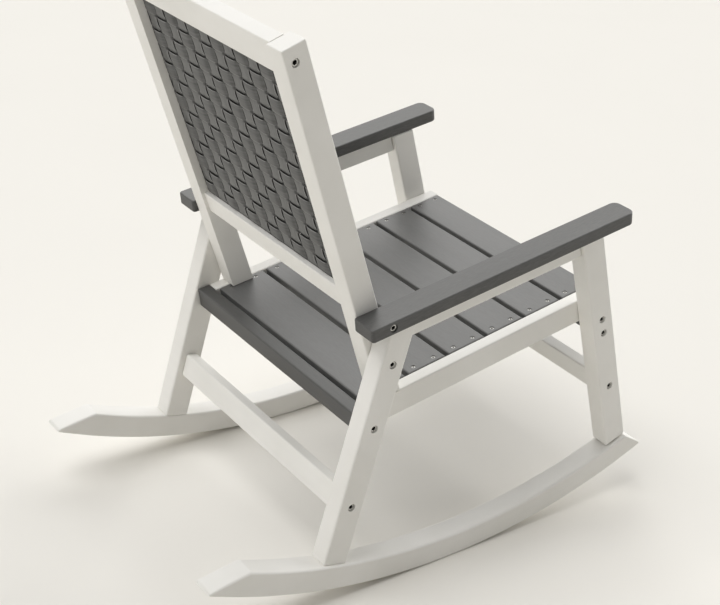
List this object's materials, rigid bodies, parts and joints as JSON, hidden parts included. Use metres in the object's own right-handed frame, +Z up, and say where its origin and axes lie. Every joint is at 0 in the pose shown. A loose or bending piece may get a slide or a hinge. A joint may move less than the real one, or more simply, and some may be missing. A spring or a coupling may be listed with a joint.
{
  "type": "rocking chair",
  "caption": "Rocking chair with curved runners, slatted seat, flat armrests and a reclined back with a woven strap panel.",
  "frame": {"origin": "middle of the chair's plan at floor level", "axes": "+Z up, the front of the chair faces -Y, the sitter's left is +X"},
  "size_m": [0.6224, 0.998, 1.0185],
  "materials": {
    "white_lumber": "satin",
    "grey_lumber": "brushed grain",
    "woven_strap": "matt",
    "bolt_steel": "satin"
  },
  "bodies": {
    "root": {"rocker_left": "white_lumber", "rocker_right": "white_lumber", "front_leg_left": "white_lumber", "front_leg_right": "white_lumber", "rear_leg_left": "white_lumber", "rear_leg_right": "white_lumber", "seat_side_rail_left": "white_lumber", "seat_side_rail_right": "white_lumber", "arm_rail_left": "white_lumber", "arm_rail_right": "white_lumber", "back_stile_left": "white_lumber", "back_stile_right": "white_lumber", "armrest_left": "grey_lumber", "armrest_right": "grey_lumber", "seat_slat_1": "grey_lumber", "seat_slat_2": "grey_lumber", "seat_slat_3": "grey_lumber", "seat_slat_4": "grey_lumber", "seat_slat_5": "grey_lumber", "seat_slat_6": "grey_lumber", "rear_seat_board": "grey_lumber", "front_seat_board": "grey_lumber", "front_stretcher": "white_lumber", "rear_stretcher": "white_lumber", "back_lower_rail": "white_lumber", "back_top_rail": "white_lumber", "woven_cross_straps": "woven_strap", "woven_upright_straps": "woven_strap", "bolts_left": "bolt_steel", "bolts_right": "bolt_steel"}
  },
  "joints": []
}
